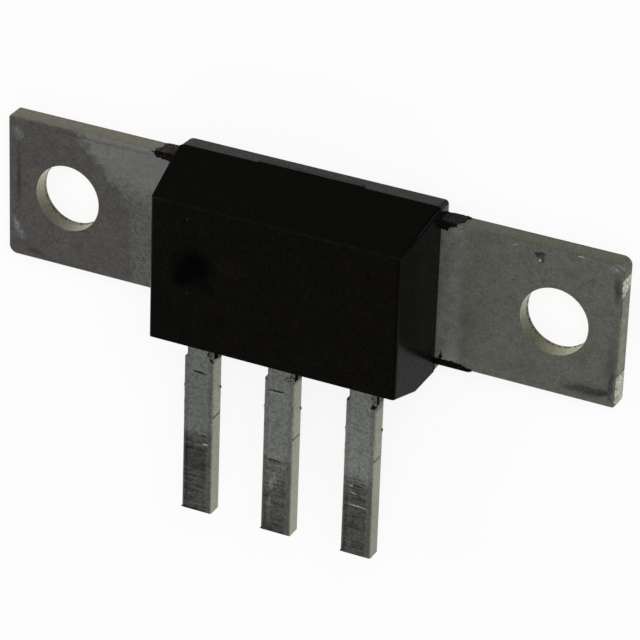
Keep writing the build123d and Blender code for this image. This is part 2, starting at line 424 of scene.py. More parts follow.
def plateFinish():
    material, graph, point, normal = startMaterial("nickelPlate")
    x, y, z = graph.parts(point)
    facing = normal[2].step(0.55, 0.9)
    cloud = graph.noise(point, 0.55, 4.0, 0.6)
    patch = graph.noise(point, 2.2, 5.0, 0.62, lean=0.4)
    grain = graph.noise(point, plate["grain"], 4.0, 0.7)
    fine = graph.noise(point, 26.0, 2.0, 0.5)
    pushed = graph.wandering(point, 1.6, 0.5)

    # the right-hand end is lighter than the left, and a paler zone lies beside the case, whose
    # scuffed border wanders; on the right, the lightening towards the case is partly painted
    # light over the case's shadow and its dark reflection
    onLeft = x.step(0.0, -1.0)
    onRight = x.step(0.0, 1.0)
    rightEnd = x.step(8.0, 8.3)
    border = x + y.most(0.0) * 0.78 + (cloud - 0.5) * 1.4 + (patch - 0.5) * 1.4
    nearLeft = border.step(-11.5, -10.5) * onLeft * (0.42 + y.step(0.2, 2.4) * 0.53)
    nearRight = x.step(10.6, 8.6) * x.step(8.0, 8.2) * (0.4 + patch * 0.8)
    colour = graph.mix(nearLeft.most(nearRight * 0.75), plate["front"], plate["nearCase"])
    # painted light: the right-hand end is lightened, and more so towards the case, over the
    # case's shadow
    colour = graph.shaded(colour, 1.0 + rightEnd * (0.33 + x.step(11.0, 8.3) * 0.24))
    rim = (x + (cloud - 0.5) * 0.8 + (patch - 0.5) * 0.4).near(9.80, 0.14, 0.24)
    colour = graph.shaded(colour, 0.9 + cloud * 0.2 - rim * y.step(2.5, 1.2) * 0.10)
    speck = (patch - 0.5) * 0.8 + (grain - 0.5) * 2.0 + (fine - 0.5) * 1.0
    scratch = graph.noise(graph.place((x - y) * 0.9, (x + y) * 1.7, 0.0), 2.6, 4.0, 0.7)
    scuffs = (scratch * 0.8 + grain * 0.2).step(0.46, 0.60)
    scuffs = scuffs * border.near(-10.3, 0.5, 0.9) * y.step(3.4, 1.4) * onLeft
    dark = graph.spots(pushed, plate["darkMarks"])
    dusk = graph.spots(pushed, plate["darkClouds"], 0.95)
    light = graph.spots(pushed, plate["lightMarks"])
    pale = graph.spots(pushed, plate["lightClouds"], 0.95)
    colour = graph.mix(dusk.most(scuffs * 0.52) * (0.9 + speck * 1.2), colour, plate["dark"])
    colour = graph.mix(pale * (0.9 + speck * 1.2), colour, plate["pale"])
    colour = graph.mix(dark * (0.75 + speck * 1.5), colour, plate["dark"])
    colour = graph.mix(light * (0.8 + speck), colour, plate["light"])

    # sheared edges: burnished near the front, torn below
    torn = z.step(0.82, 0.55)
    streak = graph.noise(graph.vector("MULTIPLY", point, (5.0, 5.0, 0.7)), 1.4, 3.0, 0.6)
    edge = graph.mix(torn * 0.6, plate["edge"], plate["torn"])
    edge = graph.mix((streak - 0.45) * 0.8, edge, plate["streaked"])
    right = x.step(plateHigh.x - 0.5, plateHigh.x - 0.1)
    # on the right-hand end: a darker band near the upper corner, and painted shade along a step
    # and on the roll between end and front
    stain = y.within(3.5, 4.0, 0.15) * 0.6 + (y + z * 0.1).near(-2.40, 0.04, 0.08) * 0.9
    stain = stain.most(normal[2].within(0.3, 0.9, 0.1) * y.within(1.4, 3.3, 0.4) * 0.7)
    # painted highlights on the right-hand end: a slanting band near the top, and the lower part,
    # speckled
    endHighlightBand = (y + z * 0.35).step(2.68, 2.82) * y.step(3.52, 3.42)
    bright = (endHighlightBand * 1.25).most(y.step(-2.42, -2.52))
    bright = bright * (0.2 + grain.step(0.42, 0.56) * 0.55)
    edge = graph.mix(right * stain, edge, plate["endDarkAndShade"])
    edge = graph.mix(right * bright, edge, plate["endHighlightBand"])
    edge = graph.shaded(edge, 1 + right * (patch + grain - 1.0) * 1.6)

    # painted light on the hole walls, brightest where they face along the plate, and painted
    # shade on the edges that face up, more on the right
    offHole = abs(abs(x) - plate["holeX"]).most(abs(y))
    inHole = offHole.step(plate["holeRadius"] + 0.17, plate["holeRadius"] + 0.11)
    holeWallLightFacing = normal[0] * 0.643 + normal[1] * 0.766
    upper = normal[1].step(0.5, 0.9) * (1 - inHole) * (0.12 + onRight * 0.28)
    edge = graph.shaded(edge, 1 - upper + inHole * (2.5 - holeWallLightFacing * 2.7))
    colour = graph.mix(facing, edge, colour)
    colour = graph.mix(rightEnd, colour, plate["rightTint"], "MULTIPLY")
    # painted shade on the rounded edge between the front and the upper edge, on the right
    rollShade = normal[1].within(0.25, 0.80, 0.12) * onRight * 0.16
    grainy = 0.76 - nearLeft.most(nearRight * 0.8) * 0.30 - rightEnd * 0.08
    colour = graph.shaded(colour, speck * grainy + 1.0 - rollShade)
    roughness = plate["roughness"] + (patch - 0.5) * 0.22 + (1 - facing) * 0.05
    height = patch * 0.5 + grain * 0.35 + fine * 0.15 - dark * 0.8
    endMaterial(graph, colour, roughness, height, plate["relief"], {"Metallic": 1.0})
    return material


# Tinned leads

leads = {
    "pitch": 5.08,
    "halfWidth": 0.94,
    "thickness": 0.94,
    "trimmed": (-10.06, -8.34),     # y of the stretch where the frame's bars were cut out
    "levelsTop": -5.0,              # y where the run of levels ends, inside the case
    "front": tone(95, 97.5, 93.5),
    "scuffed": tone(95, 95.5, 91.5),
    "dark": tone(30, 30, 29),
    "light": tone(165, 165, 160),
    "side": tone(133, 132, 118),
    "notched": tone(44, 43, 37),
    "pitted": tone(70, 69, 62),
    "greenish": tone(66, 69, 62),
    "sideBack": tone(150, 149, 136),
    "grain": 8.0,
    "roughness": 0.40,
    "relief": 0.008,
    # how light each lead's front is along its length: (y, level) from the tip to the case
    "levels": (
        ((-16.4, 0.36), (-15.4, 0.42), (-14.4, 0.42), (-13.4, 0.28), (-12.2, 0.36), (-11.6, 0.50),
         (-11.2, 0.84), (-10.8, 0.93), (-8.6, 0.88), (-6.6, 0.96)),
        ((-16.4, 0.34), (-15.0, 0.52), (-14.0, 0.46), (-13.2, 0.60), (-11.8, 0.68), (-11.4, 1.10),
         (-10.7, 0.98), (-10.2, 1.02), (-7.4, 1.02), (-6.2, 0.97)),
        ((-16.4, 0.42), (-13.3, 0.45), (-13.0, 0.46), (-11.9, 0.60), (-11.5, 0.84), (-11.1, 1.22),
         (-8.0, 1.06), (-6.2, 0.99)),
    ),
    # x, y, half x, half y, turn, strength
    "darkMarks": (
        (-5.06, -7.30, 0.56, 0.10, -2, 0.95),
        (-0.17, -7.19, 0.68, 0.08, 2, 0.95),
        (4.77, -7.97, 0.34, 0.04, 3, 0.5),
        (5.00, -6.63, 0.58, 0.03, 2, 0.3),
        (-4.68, -11.39, 0.22, 0.10, -8, 0.9),
        (-0.16, -11.69, 0.54, 0.06, -3, 1.0),
        (-0.56, -12.31, 0.16, 0.05, 0, 0.8),
        (5.04, -11.92, 0.52, 0.06, 0, 1.0),
        (5.02, -11.50, 0.60, 0.05, 0, 0.5),
        (-5.02, -11.42, 0.60, 0.05, -2, 0.5),
        (4.85, -14.22, 0.14, 0.06, -45, 0.7),
        (5.74, -6.06, 0.18, 0.12, -20, 0.7),
        (0.52, -6.16, 0.20, 0.10, 30, 0.45),
    ),
    "lightMarks": (
        (-4.60, -11.91, 0.22, 0.06, 0, 0.8),
        (-0.17, -7.34, 0.60, 0.05, 2, 0.3),
        (-0.34, -13.20, 0.20, 0.60, 0, 0.15),
        (-0.10, -12.90, 0.14, 0.40, 12, 0.14),
        (-0.42, -14.40, 0.12, 0.40, -8, 0.14),
        (4.68, -11.98, 0.16, 0.04, 0, 1.0),
        (4.82, -12.43, 0.24, 0.04, -6, 0.7),
        (5.12, -13.21, 0.74, 0.04, -3, 0.7),
    ),
}
leadMiddles = (-leads["pitch"], 0.0, leads["pitch"])


def leadFinish():
    material, graph, point, normal = startMaterial("tinnedLead")
    x, y, z = graph.parts(point)
    half = leads["pitch"] / 2
    across = graph.math("WRAP", x, -half, half)
    facing = normal[2].step(0.6, 0.92)
    patch = graph.noise(point, 4.0, 5.0, 0.6)
    grain = graph.noise(point, leads["grain"], 4.0, 0.7)
    fine = graph.noise(point, 30.0, 2.0, 0.5)
    drawn = graph.noise(graph.vector("MULTIPLY", point, (0.6, 4.5, 1.5)), 1.3, 4.0, 0.7)
    pushed = graph.wandering(point, 4.0, 0.16)
    speck = (patch - 0.5) * 0.8 + (grain - 0.5) * 2.3 + (fine - 0.5) * 1.0

    # each lead has its own run of light and dark; the ends are scuffed in fine scratches
    reach = y + (patch - 0.5) * 0.5
    first, second, third = [
        graph.levels(reach, leadLow.y, leads["levelsTop"], stops) for stops in leads["levels"]
    ]
    pastFirst = x.step(-4.0, -3.0)
    onThird = x.step(3.0, 4.0)
    level = second + (first - second) * x.step(-3.0, -4.0) + (third - second) * onThird
    scuff = reach.step(-11.3, -11.8)
    bare = across.step(0.50, 0.66).most(across.step(-0.76, -0.86)) * scuff
    level = level + bare * (0.84 - level) * 0.8
    level = level * (1 + scuff * (1 - bare) * ((drawn - 0.5) * 3.0 + (patch - 0.5) * 0.5))
    # painted highlight along both long edges of each lead's front, with darker lines just inside
    # them
    rim = abs(across).step(0.84, 0.92)
    inner = across.near(-0.72, 0.06, 0.10) * 0.12 + across.near(0.74, 0.06, 0.12) * 0.16
    level = (level - inner) * (1 + rim * 0.30)
    colour = graph.shaded(graph.mix(scuff, leads["front"], leads["scuffed"]), level)
    dark = graph.spots(pushed, leads["darkMarks"])
    light = graph.spots(pushed, leads["lightMarks"])
    colour = graph.mix(dark, colour, leads["dark"])
    colour = graph.mix(light, colour, leads["light"])

    # sides: trimmed rough where the frame's bars were cut out, paler below
    trimLow, trimHigh = leads["trimmed"]
    cut = y.within(trimLow, trimHigh - 0.01, 0.05)
    lower = y.step(trimLow + 0.02, trimLow - 0.08)
    side = graph.shaded(leads["side"], 1.0 + lower * 0.14 + cut * (0.10 + (patch - 0.5) * 0.9))
    side = graph.mix(y.near(trimLow - 0.01, 0.05, 0.05) * 0.85, side, leads["notched"])
    # pits on the second and third lead, and a greenish stain under the third one's shoulder
    pits = grain.step(0.49, 0.56) * (0.10 + pastFirst * 0.45)
    end = onThird * (0.14 + y.step(-12.2, -13.4) * 0.16)
    side = graph.shaded(side, 1.0 + pastFirst * 0.30 - end)
    side = graph.mix(pits, side, leads["pitted"])
    stain = onThird * (y + (patch - 0.5) * 0.3).step(-7.0, -6.75)
    side = graph.mix(stain * 0.75, side, leads["greenish"])
    behind = z.step(leadHigh.z - 0.72, leadHigh.z - 0.90)
    side = graph.mix(behind * 0.5, side, leads["sideBack"])
    colour = graph.mix(facing, side, colour)
    colour = graph.shaded(colour, speck * 0.8 + 1.0)
    roughness = leads["roughness"] + (patch - 0.5) * 0.2 + scuff * facing * 0.08
    height = patch * 0.5 + grain * 0.4 + fine * 0.2 - dark * 0.7 + drawn * scuff * 0.6
    endMaterial(graph, colour, roughness, height, leads["relief"], {"Metallic": 1.0})
    return material


# Moulded epoxy case

case = {
    "end": 8.18,              # half its length at the parting line
    "top": 5.27,              # where its long slope starts, at the parting line
    "partingZ": 1.17,
    "endDraft": 7.6,          # degrees
    "topSlope": 20.0,
    "body": tone(6.2, 5.4, 3.6),
    "slope": tone(4.8, 4.2, 2.6),
    "ends": tone(16.4, 16, 13.2),
    "strip": tone(24, 23, 20),
    "matt": 0.10,             # how much of the ends' shine their mottling takes away
    "edgeHighlightTone": tone(58, 60, 60),
    "speck": tone(120),
    "haze": tone(64, 56, 48),
    "ior": 1.088,
    "coatIor": 1.10,          # the ends and the strip behind the parting line are glossier
    "coatRoughness": 0.18,
    "grain": 13.0,
    "relief": 0.006,
    # dull marks on the front face: x, y, half x, half y, turn, strength
    "stains": (
        (-4.92, 0.03, 1.72, 1.62, 0, 1.0),
        (-5.66, -0.82, 0.80, 0.70, 30, 1.0),
        (-4.10, -0.95, 0.95, 0.60, -35, 0.5),
        (-3.28, -3.06, 0.80, 0.50, 10, 0.3),
    ),
    "cloudy": (-2.60, 0.45, 1.30, 0.85, 8),     # a faint haze
    "specks": (
        (-5.36, 2.95, 0.06, 0.05, 0, 0.25),
        (-5.25, -1.68, 0.05, 0.05, 0, 0.20),
        (2.60, -1.10, 0.04, 0.04, 0, 0.12),
    ),
}


def caseFinish():
    material, graph, point, normal = startMaterial("blackEpoxy")
    x, y, z = graph.parts(point)
    cloud = graph.noise(point, 0.5, 4.0, 0.6)
    patch = graph.noise(point, 2.5, 4.0, 0.6)
    grain = graph.noise(point, case["grain"], 4.0, 0.75)
    fine = graph.noise(point, 30.0, 2.0, 0.5)
    pushed = graph.wandering(point, 3.0, 0.35)
    front = normal[2].step(0.85, 0.97)
    ends = abs(normal[0]).step(0.6, 0.8)
    strip = normal[1].step(0.95, 0.98)
    glossy = ends.most(strip).most(z.step(1.22, 1.16) * (1 - front))
    slope = normal[1].within(0.80, 0.945, 0.01)

    shade = 1.0 + (cloud - 0.5) * 0.8 + (patch - 0.5) * 0.8 + (fine - 0.5) * 4.0
    shade = shade + (grain - 0.5) * (11.0 - strip * 6.5)
    colour = graph.mix(slope, case["body"], case["slope"])
    colour = graph.mix(ends, colour, case["ends"])
    # painted sheen: a lighter base where the glossy back half faces up, over its coat's own
    # reflection
    colour = graph.mix(glossy * normal[1].step(0.2, 0.6), colour, case["strip"])
    colour = graph.shaded(colour, shade.most(0.0))

    # painted highlight on the rounded edges, placed by how far the point lies inside the end's
    # and the slope's planes
    rise = z - case["partingZ"]
    fromEnd = case["end"] - rise * math.tan(math.radians(case["endDraft"])) - abs(x)
    fromSlope = case["top"] - rise * math.tan(math.radians(case["topSlope"])) - y
    frontTop = abs(fromSlope).step(0.07, 0.02) * z.step(caseHigh.z - 0.06, caseHigh.z - 0.02)
    corner = abs(fromEnd - fromSlope * 0.95).step(0.05, 0.01) * fromEnd.step(0.16, 0.10)
    corner = corner * (0.25 + z.within(1.6, 3.3, 0.4) * 0.75) * z.step(1.2, 1.4)
    edgeHighlight = (frontTop * 0.35).most(corner * 0.8) * (patch * 1.3 + grain * 0.6 - 0.25)
    leftEnd = x.step(-6.2, -7.4) * frontTop
    rightEnd = x.step(6.5, 7.4) * frontTop * patch.step(0.4, 0.6)
    blotch = leftEnd.most(rightEnd)
    colour = graph.mix(edgeHighlight.most(blotch * 0.3), colour, case["edgeHighlightTone"])
    onFront = front * z.step(caseHigh.z - 0.04, caseHigh.z - 0.02)
    colour = graph.mix(graph.spots(pushed, case["specks"]) * onFront, colour, case["speck"])
    x0, y0, halfX, halfY, turn = case["cloudy"]
    haze = graph.spot(pushed, x0, y0, halfX, halfY, turn, 0.95) * onFront * (0.4 + grain)
    colour = graph.mix(haze * 0.04, colour, case["haze"])

    # a dull black stain round the mark in the front face, and painted shade where the shine is
    # taken off the roll of its right-hand end, the rounded corners and the front's top edge
    onTop = z.step(caseHigh.z - 0.5, caseHigh.z - 0.4)
    stain = graph.spots(pushed, case["stains"], 0.75) * onTop
    roll = normal[0].within(0.30, 0.88, 0.08) * z.step(caseHigh.z - 0.4, caseHigh.z - 0.2)
    leftCornerShade = normal[0].within(-0.95, -0.25, 0.10) * normal[1].step(0.10, 0.25)
    rightCornerShade = normal[0].within(0.30, 0.95, 0.08) * normal[1].step(0.06, 0.12)
    rightCornerShade = rightCornerShade * z.step(1.20, 1.30) * (1 - edgeHighlight)
    seam = ends * y.step(-3.9, -4.1) * z.near(case["partingZ"] - 0.02, 0.09, 0.05)
    coarse = graph.noise(point, 8.0, 3.0, 0.7)
    mottle = case["matt"] + (coarse - 0.5) * 2.2 + (grain - 0.5) * 1.0 + (patch - 0.5) * 0.3
    dull = stain.most(roll * 0.42).most(leftCornerShade * 0.8).most(rightCornerShade * 0.8)
    dull = dull.most(frontTop * (1 - blotch * 0.4) * 0.70).most(seam)
    dull = dull.most(slope * 0.22).most(glossy * mottle)

    roughness = 0.26 - ends * 0.07 + (patch - 0.5) * 0.08 + (grain - 0.5) * 0.10
    height = grain * 0.6 + fine * 0.4
    others = {
        "IOR": case["ior"], "Coat IOR": case["coatIor"], "Coat Weight": glossy,
        "Coat Roughness": case["coatRoughness"],
    }
    endMaterial(graph, colour, roughness, height, case["relief"], others, dull)
    return material


# Dice and solder inside the case

inside = {
    "silicon": tone(92, 96, 106),
    "sawRelief": 0.003,
    "solder": tone(150, 150, 146),
    "solderRelief": 0.008,
}


def siliconFinish():
    material, graph, point = startMaterial("silicon")[:3]
    cloud = graph.noise(point, 1.2, 3.0, 0.5)
    saw = graph.noise(graph.vector("MULTIPLY", point, (0.4, 0.4, 30.0)), 2.0, 2.0, 0.5)
    colour = graph.shaded(inside["silicon"], 0.9 + cloud * 0.2)
    endMaterial(graph, colour, 0.12 + cloud * 0.12, saw, inside["sawRelief"], {"Metallic": 0.6})
    return material


def solderFinish():
    material, graph, point = startMaterial("solder")[:3]
    patch = graph.noise(point, 3.0, 4.0, 0.6)
    grain = graph.noise(point, 18.0, 3.0, 0.6)
    colour = graph.shaded(inside["solder"], 0.85 + patch * 0.3)
    relief = inside["solderRelief"]
    endMaterial(graph, colour, 0.3 + grain * 0.2, grain + patch, relief, {"Metallic": 1.0})
    return material


# Finishes that only the fine detail has

detail = {
    "skin": tone(9, 8, 8),
    "skinGrey": tone(75, 72.5, 71),
    "skinBrown": tone(23, 15, 12),
    "flake": tone(92, 90, 88),
    "skinRelief": 0.040,
    "residue": tone(114, 114, 104),
    "residueGrey": tone(84, 83, 77),
    "residueDarkAndShade": tone(4, 4, 3),
    "residueRelief": 0.020,
    "crumb": tone(12, 10, 9),
    "crumbBrown": tone(40, 22, 16),
    "crumbPale": tone(50, 46, 42),
    "crumbRelief": 0.030,
    "burr": tone(90, 89, 82),
    "burrShade": tone(26, 25, 24),
    "burrRelief": 0.010,
    "skinIor": 1.08,
    "grainIor": 1.12,         # residue and crumbs
}


def skinFinish():
    # torn mould flash: black, greyed in patches on the upper skins where they face the same way
    # as the plate's edge
    material, graph, point, normal = startMaterial("flashSkin")
    x, y = graph.parts(point)[:2]
    patch = graph.noise(point, 5.0, 4.0, 0.7)
    grain = graph.noise(point, 13.0, 4.0, 0.75)
    onRight = x.step(0.0, 1.0)
    upper = y.step(0.0, 0.1)
    edgeGrey = abs(normal[1]).step(0.7, 0.95) * (patch * 0.8 + (grain - 0.5) * 4.5 + 0.35) * upper
    edgeGrey = edgeGrey * (0.80 - onRight * 0.34)
    brown = patch.step(0.44, 0.60) * (0.7 - onRight * upper * 0.55)
    colour = graph.mix(brown, detail["skin"], detail["skinBrown"])
    colour = graph.mix(edgeGrey, colour, detail["skinGrey"])
    flake = (grain * 0.8 + patch * 0.2).step(0.60, 0.66) * abs(normal[2]).step(0.3, 0.8)
    colour = graph.mix(flake * 0.6, colour, detail["flake"])
    others = {"IOR": detail["skinIor"]}
    relief = detail["skinRelief"]
    endMaterial(graph, colour, 0.5 + grain * 0.3, patch + grain, relief, others)
    return material


def residueFinish():
    # what the mould leaves where a lead comes out: grey film over dark epoxy
    material, graph, point, normal = startMaterial("exitResidue")
    x, y, z = graph.parts(point)
    patch = graph.noise(point, 5.0, 4.0, 0.7)
    grain = graph.noise(point, 13.0, 4.0, 0.7)
    second = x.step(-3.0, -2.0)
    third = x.step(3.0, 4.0)
    behind = leadHigh.z - z
    reach = 0.44 - second * 0.04 - third * 0.12     # how far back the grey film comes
    forward = (behind + (patch - 0.5) * 0.25).step(reach + 0.08, reach - 0.08)
    # dark epoxy on the recess walls towards the front, partly painted shade in the recess
    dark = (forward * abs(normal[0]).step(0.3, 0.7) + (patch - 0.5) * 0.8).step(0.35, 0.75)
    film = graph.mix((grain - 0.42) * 2.2, detail["residueGrey"], detail["residue"])
    colour = graph.mix(dark, film, detail["residueDarkAndShade"])
    # on the first two leads the film stops short of the shoulder, where the metal shows
    limit = -6.22 - second * 0.10 - third * 0.60
    metal = (y + behind * (0.26 - second * 0.20) + (grain - 0.5) * 0.1).step(limit, limit - 0.04)
    metal = metal * abs(normal[0]).step(0.3, 0.7)
    colour = graph.mix(metal, colour, leads["side"])
    colour = graph.shaded(colour, 0.7 + grain * 0.6)
    others = {"Metallic": metal, "IOR": detail["grainIor"]}
    relief = detail["residueRelief"]
    dull = dark * (1 - metal) * 0.9
    endMaterial(graph, colour, 0.42 + patch * 0.3, patch + grain, relief, others, dull)
    return material


def crumbFinish():
    material, graph, point = startMaterial("epoxyCrumb")[:3]
    patch = graph.noise(point, 6.0, 3.0, 0.6)
    grain = graph.noise(point, 16.0, 4.0, 0.7)
    x = graph.parts(point)[0]
    colour = graph.mix(patch.step(0.45, 0.65), detail["crumb"], detail["crumbBrown"])
    paler = x.step(3.0, 2.0) * x.step(-6.5, -6.0) * 0.6     # on the first two leads
    colour = graph.mix(paler, colour, detail["crumbPale"])
    colour = graph.shaded(colour, 0.5 + grain)
    others = {"IOR": detail["grainIor"]}
    relief = detail["crumbRelief"]
    endMaterial(graph, colour, 0.5 + grain * 0.3, patch + grain, relief, others)
    return material


def burrFinish():
    material, graph, point = startMaterial("burrMetal")[:3]
    patch = graph.noise(point, 5.0, 4.0, 0.6)
    grain = graph.noise(point, 14.0, 4.0, 0.7)
    # light metal in patches, and dark patches that are painted shade, as on the underside of a
    # burr
    colour = graph.mix(patch * 1.5 - 0.25, detail["burrShade"], detail["burr"])
    colour = graph.shaded(colour, 0.6 + grain * 0.8)
    relief = detail["burrRelief"]
    endMaterial(graph, colour, 0.36 + grain * 0.2, grain, relief, {"Metallic": 1.0})
    return material


def finishNodes():
    finishes = {
        "nickel_plate": plateFinish(),
        "tinned_lead": leadFinish(),
        "black_epoxy": caseFinish(),
        "silicon": siliconFinish(),
        "solder": solderFinish(),
    }
    for entry in frame["record"]["subparts"]:
        mesh = nodes[entry["node"]].data
        mesh.materials.clear()
        mesh.materials.append(finishes[entry["material_slot"]])
    print("finishes set on", len(nodes), "nodes")


# Geometry Nodes trees: ragged ridges along a path, and crumbs on given points

trees = {
    "wanderScale": 5000.0,    # how fine the noise is, per metre
    "swellScale": 9000.0,
    "ridgeSides": 6,
    "crumbLevels": 3,
    "crumbRough": 0.03,       # how far a crumb's surface bulges, in millimetres
}


def openTree(name, numbers):
    # a new tree's graph, and its inputs by name: a geometry, the numbers and a material
    tree = bpy.data.node_groups.new(name, "GeometryNodeTree")
    inputs = {"Geometry": "Geometry", **dict.fromkeys(numbers, "Float"), "Material": "Material"}
    for label, kind in inputs.items():
        tree.interface.new_socket(label, in_out="INPUT", socket_type="NodeSocket" + kind)
    tree.interface.new_socket("Geometry", in_out="OUTPUT", socket_type="NodeSocketGeometry")
    graph = Graph(tree)
    given = graph.node("NodeGroupInput").socket.node.outputs
    return graph, {label: Value(graph, given[label]) for label in inputs}


def closeTree(graph, geometry, material):
    real = graph.node("GeometryNodeRealizeInstances", {}, {"Geometry": geometry})
    painted = graph.node("GeometryNodeSetMaterial", {}, {"Geometry": real, "Material": material})
    graph.node("NodeGroupOutput", {}, {"Geometry": painted})
    return graph.tree


def treeNoise(graph, seed, scale, output=0):
    # noise over the place in metres, different for each seed
    sockets = {
        "Vector": graph.node("GeometryNodeInputPosition"), "W": seed, "Scale": scale,
        "Detail": 4.0, "Roughness": 0.65,
    }
    return graph.node("ShaderNodeTexNoise", {"noise_dimensions": "4D"}, sockets, output)


def ridgeTree():
    graph, given = openTree("raggedRidge", ("Spacing", "Thickness", "Wander", "Seed"))
    curve = graph.node("GeometryNodeMeshToCurve", {}, {"Mesh": given["Geometry"]})
    sockets = {"Curve": curve, "Length": given["Spacing"]}
    even = graph.node("GeometryNodeResampleCurve", {"mode": "LENGTH"}, sockets)
    cloud = treeNoise(graph, given["Seed"], trees["wanderScale"], 1)
    push = graph.vector("SUBTRACT", cloud, (0.5, 0.5, 0.5))
    sockets = {"Geometry": even, "Offset": graph.scaled(push, given["Wander"])}
    moved = graph.node("GeometryNodeSetPosition", {}, sockets)
    # thin for most of its way, with lumps
    swell = (treeNoise(graph, given["Seed"] + 7.0, trees["swellScale"]) - 0.42) * 4.0
    thick = swell.most(0.12).least(1.6) * given["Thickness"]
    sockets = {"Resolution": trees["ridgeSides"], "Radius": 1.0}
    ring = graph.node("GeometryNodeCurvePrimitiveCircle", {}, sockets)
    sockets = {"Curve": moved, "Profile Curve": ring, "Scale": thick, "Fill Caps": True}
    tube = graph.node("GeometryNodeCurveToMesh", {}, sockets)
    return closeTree(graph, tube, given["Material"])


def crumbTree():
    graph, given = openTree("crumbs", ("Rough", "Seed"))
    sockets = {"Radius": 1.0, "Subdivisions": trees["crumbLevels"]}
    ball = graph.node("GeometryNodeMeshIcoSphere", {}, sockets)
    settings = {"data_type": "FLOAT_VECTOR"}
    size = graph.node("GeometryNodeInputNamedAttribute", settings, {"Name": "size"})
    sockets = {"Points": given["Geometry"], "Instance": ball, "Scale": size}
    placed = graph.node("GeometryNodeInstanceOnPoints", {}, sockets)
    real = graph.node("GeometryNodeRealizeInstances", {}, {"Geometry": placed})
    bulge = (treeNoise(graph, given["Seed"], trees["swellScale"]) - 0.5) * given["Rough"]
    offset = graph.scaled(graph.node("GeometryNodeInputNormal"), bulge)
    moved = graph.node("GeometryNodeSetPosition", {}, {"Geometry": real, "Offset": offset})
    return closeTree(graph, moved, given["Material"])


def runTree(piece, tree, settings):
    # runs the tree on a piece and keeps the result as the piece's own mesh
    modifier = piece.modifiers.new(tree.name, "NODES")
    modifier.node_group = tree
    for item in tree.interface.items_tree:
        if item.item_type == "SOCKET" and item.in_out == "INPUT" and item.name in settings:
            modifier[item.identifier] = settings[item.name]
    ready = bpy.context.evaluated_depsgraph_get()
    baked = bpy.data.meshes.new_from_object(piece.evaluated_get(ready))
    piece.modifiers.remove(modifier)
    piece.data = baked


def addPiece(name, points, edges, faces):
    # a piece of the object from points in millimetres
    mesh = bpy.data.meshes.new(name)
    mesh.from_pydata([Vector(point) * mm for point in points], edges, faces)
    return addObject(name, mesh)


def keepPiece(piece):
    # called last, when the piece is a plain mesh
    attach(piece, "root")


def addRidges(name, paths, tree, seed, ridge, material):
    # each path is a list of points; ridge holds the tree's lengths in millimetres
    points = []
    edges = []
    for path in paths:
        start = len(points)
        points += path
        edges += [(start + i, start + i + 1) for i in range(len(path) - 1)]
    piece = addPiece(name, points, edges, [])
    lengths = {key: length * mm for key, length in ridge.items()}
    runTree(piece, tree, {**lengths, "Seed": seed, "Material": material})
    keepPiece(piece)


def addCrumbs(name, marks, tree, seed, material):
    # marks are (x, y, z, half width, half length, half height)
    piece = addPiece(name, [mark[:3] for mark in marks], [], [])
    size = piece.data.attributes.new("size", "FLOAT_VECTOR", "POINT")
    for item, mark in zip(size.data, marks):
        item.vector = Vector(mark[3:]) * mm
    rough = trees["crumbRough"] * mm
    runTree(piece, tree, {"Rough": rough, "Seed": seed, "Material": material})
    keepPiece(piece)


def addSlab(name, columns, rows, outer, inner, material):
    # a closed sheet between two surfaces, each a function of u and v from 0 to 1
    points = []
    for surface in (outer, inner):
        for j in range(rows + 1):
            points += [surface(i / columns, j / rows) for i in range(columns + 1)]
    width = columns + 1
    count = width * (rows + 1)
    faces = []
    for j in range(rows):
        for i in range(columns):
            a = j * width + i
            faces.append((a, a + 1, a + width + 1, a + width))
            faces.append((count + a, count + a + width, count + a + width + 1, count + a + 1))
    rim = list(range(width))
    rim += [j * width + columns for j in range(1, rows + 1)]
    rim += [rows * width + i for i in range(columns - 1, -1, -1)]
    rim += [j * width for j in range(rows - 1, 0, -1)]
    for a, b in zip(rim, rim[1:] + rim[:1]):
        faces.append((b, a, a + count, b + count))
    piece = addPiece(name, points, [], faces)
    made = bmesh.new()
    made.from_mesh(piece.data)
    bmesh.ops.recalc_face_normals(made, faces=made.faces)
    made.to_mesh(piece.data)
    made.free()
    piece.data.materials.append(material)
    keepPiece(piece)


# Torn flash over the plate's edges beside the case

flash = {
    "root": 0.30,             # how far each skin runs back into the case
    "cover": 0.060,           # just over the frame's own skin
    "swell": 0.050,
    "backGap": 0.07,
    "ragged": 0.12,
    "wallShare": 0.45,        # up to this share of its rows a skin lies on the plate's edge,
    "bendShare": 0.60,        # up to this one round the corner, and then on the front
    "columns": 64,
    "rows": 44,
    "grains": 16,             # loose grains along each lip
    # side: -1 left, 1 right; edge: 1 upper, -1 lower; back and front: how far it creeps out
    # depth: how far the lip hangs over the front, at distances from the case
    "spots": (
        {"name": "flashUpperLeft", "side": -1, "edge": 1, "back": 1.12, "front": 1.32,
         "depth": ((0, 0.38), (0.55, 0.38), (0.92, 0.36), (1.20, 0.32), (1.32, 0.20))},
        {"name": "flashUpperRight", "side": 1, "edge": 1, "back": 1.29, "front": 0.87,
         "depth": ((0, 0.42), (0.42, 0.43), (0.56, 0.22), (0.86, 0.08))},
        {"name": "flashLowerRight", "side": 1, "edge": -1, "back": 0.62, "front": 2.16,
         "depth": ((0, 0.22), (0.44, 0.24), (0.60, 0.25), (1.35, 0.27), (1.75, 0.18),
                   (2.14, 0.0))},
    ),
    # the spike beside the lower skin, and two lumps: x, y, lift, half width, length and height
    "lumps": (
        (8.50, -4.00, 0.02, 0.10, 0.12, 0.04),
        (8.53, -3.84, 0.02, 0.06, 0.10, 0.03),
        (8.60, -3.94, 0.02, 0.05, 0.06, 0.03),
        (-9.62, 4.36, 0.05, 0.14, 0.04, 0.03),
        (-9.40, 4.16, 0.07, 0.07, 0.07, 0.06),
    ),
}


